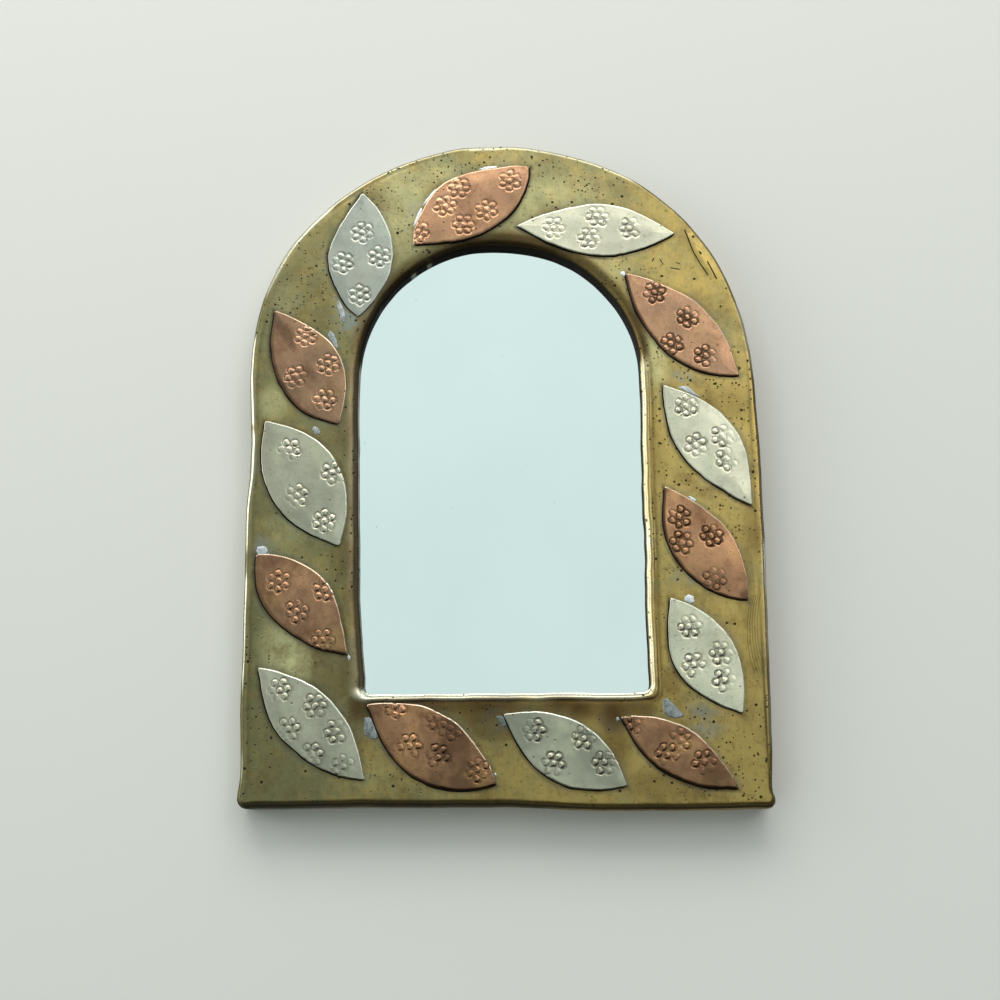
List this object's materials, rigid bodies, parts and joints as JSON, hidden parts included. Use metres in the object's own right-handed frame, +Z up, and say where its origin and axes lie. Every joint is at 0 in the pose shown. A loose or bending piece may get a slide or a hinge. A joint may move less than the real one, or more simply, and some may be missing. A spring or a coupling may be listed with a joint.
{
  "type": "arched wall mirror with a sheet-brass frame",
  "caption": "Arched wall mirror in a sheet-brass frame with stamped copper and nickel-silver leaves soldered round it; hangs by a swinging ring at its back.",
  "frame": {"origin": "middle of the rear plane, where the frame's rear edge rests on the wall", "axes": "+X to the right seen from the front, +Z up as hung, +Y into the wall; the mirror faces -Y"},
  "size_m": [0.153, 0.0127, 0.204],
  "materials": {
    "sheet_brass": "aged satin with fine grain, pits and tarnish",
    "nickel_silver": "satin nickel silver, yellowish grey",
    "sheet_copper": "satin copper, tarnished brown in places",
    "solder": "dull soft solder",
    "mirror_glass": "polished silvered glass",
    "mirror_paint": "dull backing paint",
    "card": "grey-brown board",
    "hardboard": "smooth brown hardboard",
    "clip_brass": "dull cut brass strip",
    "hanger_brass": "drawn brass, lightly worn"
  },
  "bodies": {
    "frame": {"brass_face": "sheet_brass", "nickel_leaf_1": "nickel_silver", "copper_leaf_2": "sheet_copper", "nickel_leaf_3": "nickel_silver", "copper_leaf_4": "sheet_copper", "nickel_leaf_5": "nickel_silver", "copper_leaf_6": "sheet_copper", "nickel_leaf_7": "nickel_silver", "copper_leaf_8": "sheet_copper", "nickel_leaf_9": "nickel_silver", "copper_leaf_10": "sheet_copper", "nickel_leaf_11": "nickel_silver", "copper_leaf_12": "sheet_copper", "nickel_leaf_13": "nickel_silver", "copper_leaf_14": "sheet_copper", "solder_patches": "solder", "mirror_glass": "mirror_glass", "mirror_coating": "mirror_paint", "packing_card": "card", "back_board": "hardboard", "board_clips": "clip_brass", "hanger_strap": "hanger_brass", "hanger_rivets": "hanger_brass"},
    "ring": {"hanger_ring": "hanger_brass"}
  },
  "joints": [
    {"name": "ring_swing", "type": "hinge", "parent": "frame", "child": "ring", "pos_m": [0, -0.00155, 0.088], "axis": [1, 0, 0], "range_deg": [0, 180]}
  ]
}
